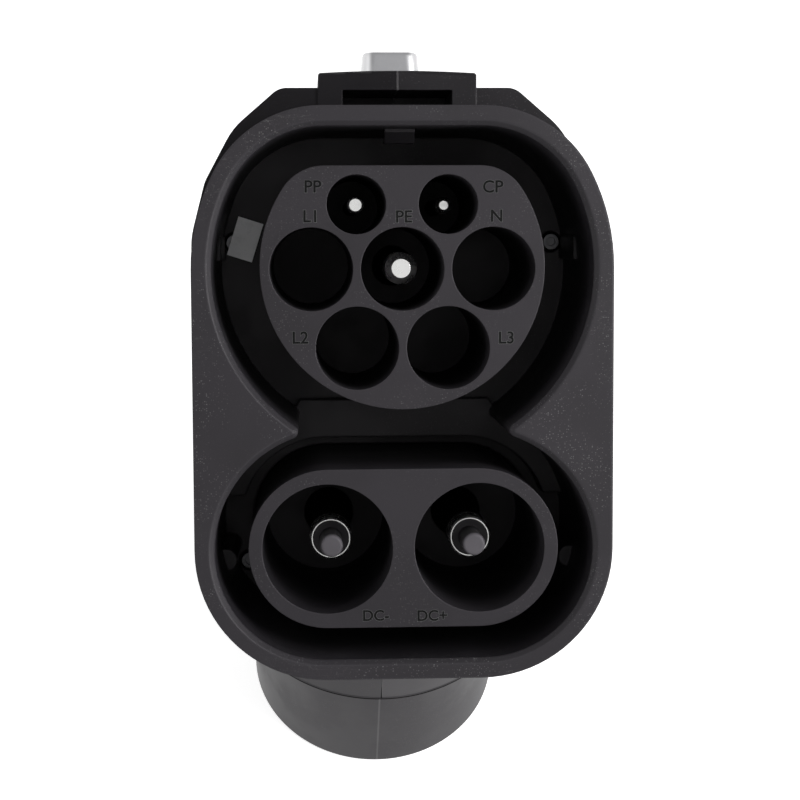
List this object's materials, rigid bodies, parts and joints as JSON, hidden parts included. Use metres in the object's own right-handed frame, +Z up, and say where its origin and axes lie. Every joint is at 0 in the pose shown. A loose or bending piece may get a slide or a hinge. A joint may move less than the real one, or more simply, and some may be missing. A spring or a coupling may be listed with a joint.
{
  "type": "electric vehicle charging adapter",
  "caption": "Bent black charging adapter: combined round and pill-shaped inlet face at one end, round barrel plug at the other, release button on top.",
  "frame": {"origin": "middle of the plug barrel's end face, on which the adapter stands", "axes": "+Z up along the plug's axis into the adapter, -Y to the side that the inlet face looks to (it looks along -Y and +Z, 45 degrees up), +X to the right when looking into the inlet"},
  "size_m": [0.0786, 0.1349, 0.2193],
  "materials": {
    "shroud_plastic": "fine-textured black moulding",
    "carrier_plastic": "fine-textured black moulding",
    "housing_plastic": "fine-textured black moulding",
    "barrel_plastic": "smooth satin black moulding",
    "inner_plastic": "plain black moulding",
    "guard_plastic": "plain dark moulding",
    "contact_silver": "silver-plated brass, satin",
    "button_metal": "satin plated zinc",
    "lever_steel": "brushed steel strip",
    "screw_steel": "bright screw steel",
    "spring_steel": "drawn spring wire",
    "sticker_paper": "matte grey paper",
    "seal_rubber": "matte black rubber",
    "board_laminate": "green solder mask",
    "chip_plastic": "moulded chip bodies",
    "header_plastic": "natural nylon",
    "cell_can": "blue shrink wrap",
    "cable_black": "matte jacket",
    "cable_orange": "matte jacket",
    "cable_green": "matte jacket",
    "cable_grey": "matte jacket"
  },
  "bodies": {
    "adapter_body": {"ac_contact_carrier": "carrier_plastic", "ac_retainer": "inner_plastic", "aux_leads": "cable_grey", "battery_cell": "cell_can", "board_chips": "chip_plastic", "board_header": "header_plastic", "board_screws": "screw_steel", "button_guide": "inner_plastic", "button_spring": "spring_steel", "control_board": "board_laminate", "dc_contact_carrier": "carrier_plastic", "dc_minus_cable": "cable_black", "dc_plus_cable": "cable_orange", "dc_retainer": "inner_plastic", "detent_pin": "screw_steel", "detent_spring": "spring_steel", "earth_cable": "cable_green", "earth_pin": "contact_silver", "harness_plug": "header_plastic", "inlet_dc_minus_pin": "contact_silver", "inlet_dc_plus_pin": "contact_silver", "inlet_floor_screws": "screw_steel", "inlet_gasket": "seal_rubber", "inlet_shroud": "shroud_plastic", "inlet_touch_guards": "guard_plastic", "inspection_sticker": "sticker_paper", "latch_pivot_pin": "screw_steel", "latch_spring": "spring_steel", "left_shell": "housing_plastic", "pilot_pin": "contact_silver", "plug_aux_pins": "contact_silver", "plug_barrel": "barrel_plastic", "plug_contact_carrier": "carrier_plastic", "plug_dc_minus_pin": "contact_silver", "plug_dc_plus_pin": "contact_silver", "plug_earth_pin": "contact_silver", "plug_gasket": "seal_rubber", "plug_retainer": "inner_plastic", "plug_retainer_screws": "screw_steel", "plug_signal_pins": "contact_silver", "plug_touch_guards": "guard_plastic", "proximity_pin": "contact_silver", "right_shell": "housing_plastic", "shell_screws": "screw_steel", "signal_harness": "cable_grey"},
    "button": {"release_button": "button_metal"},
    "latch": {"latch_lever": "lever_steel"},
    "detent": {"detent_arm": "inner_plastic"}
  },
  "joints": [
    {"name": "button_slide", "type": "slide", "parent": "adapter_body", "child": "button", "axis": [0, -0.7071, -0.7071], "range_m": [0, 0.0035], "stiffness_N_per_m": 700, "springref_m": -0.002, "deforming": ["button_spring"]},
    {"name": "latch_hinge", "type": "hinge", "parent": "adapter_body", "child": "latch", "pos_m": [0, 0.029, 0.0778], "axis": [1, 0, 0], "range_deg": [0, 2.5], "deforming": ["latch_spring"]},
    {"name": "detent_hinge", "type": "hinge", "parent": "adapter_body", "child": "detent", "pos_m": [0, 0.00884, 0.19118], "axis": [-1, 0, 0], "range_deg": [0, 5.5], "stiffness_Nm_per_rad": 0.08, "springref_deg": -5.73, "deforming": ["detent_spring"]}
  ],
  "couplings": [
    {"joint": "latch_hinge", "follows": "button_slide", "rad_per_m": 12.39}
  ]
}
